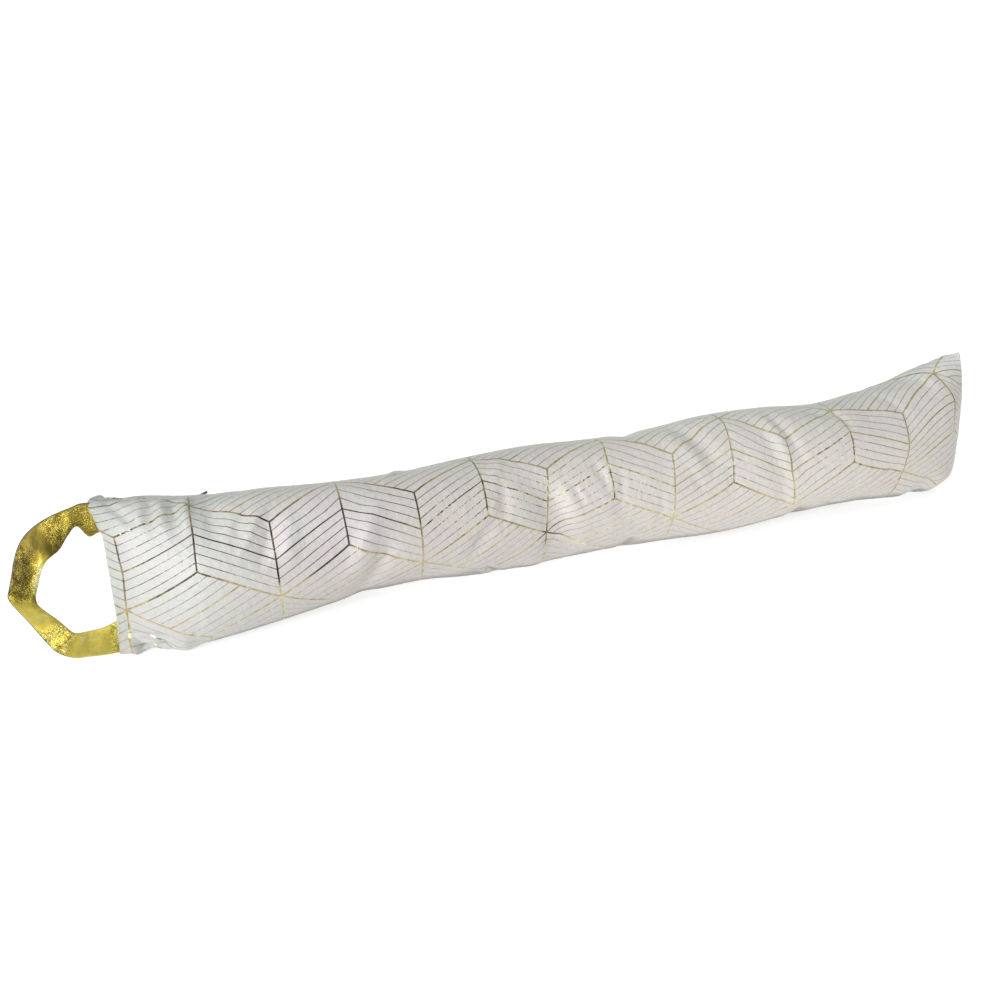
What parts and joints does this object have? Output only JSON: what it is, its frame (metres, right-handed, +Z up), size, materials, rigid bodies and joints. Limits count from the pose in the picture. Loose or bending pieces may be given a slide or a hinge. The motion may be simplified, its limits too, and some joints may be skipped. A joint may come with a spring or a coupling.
{
  "type": "draught excluder",
  "caption": "Long stuffed cloth tube that lies along the foot of a door to keep draughts out, with a strap loop at one end to hang or carry it by.",
  "frame": {"origin": "bottom centre of the whole object's box, on the surface that it lies on", "axes": "+X along the tube, away from the handle; -Y is the side that faces front; +Z up"},
  "size_m": [0.99, 0.1358, 0.1589],
  "materials": {
    "printed_cloth": "white woven cloth printed with thin gold foil lines",
    "gold_cloth": "crackled gold foil on cloth, satin to bright",
    "black_metal": "black enamel"
  },
  "bodies": {
    "root": {"cover": "printed_cloth", "handle": "gold_cloth", "zip_slider": "black_metal", "zip_pull": "black_metal"}
  },
  "joints": []
}
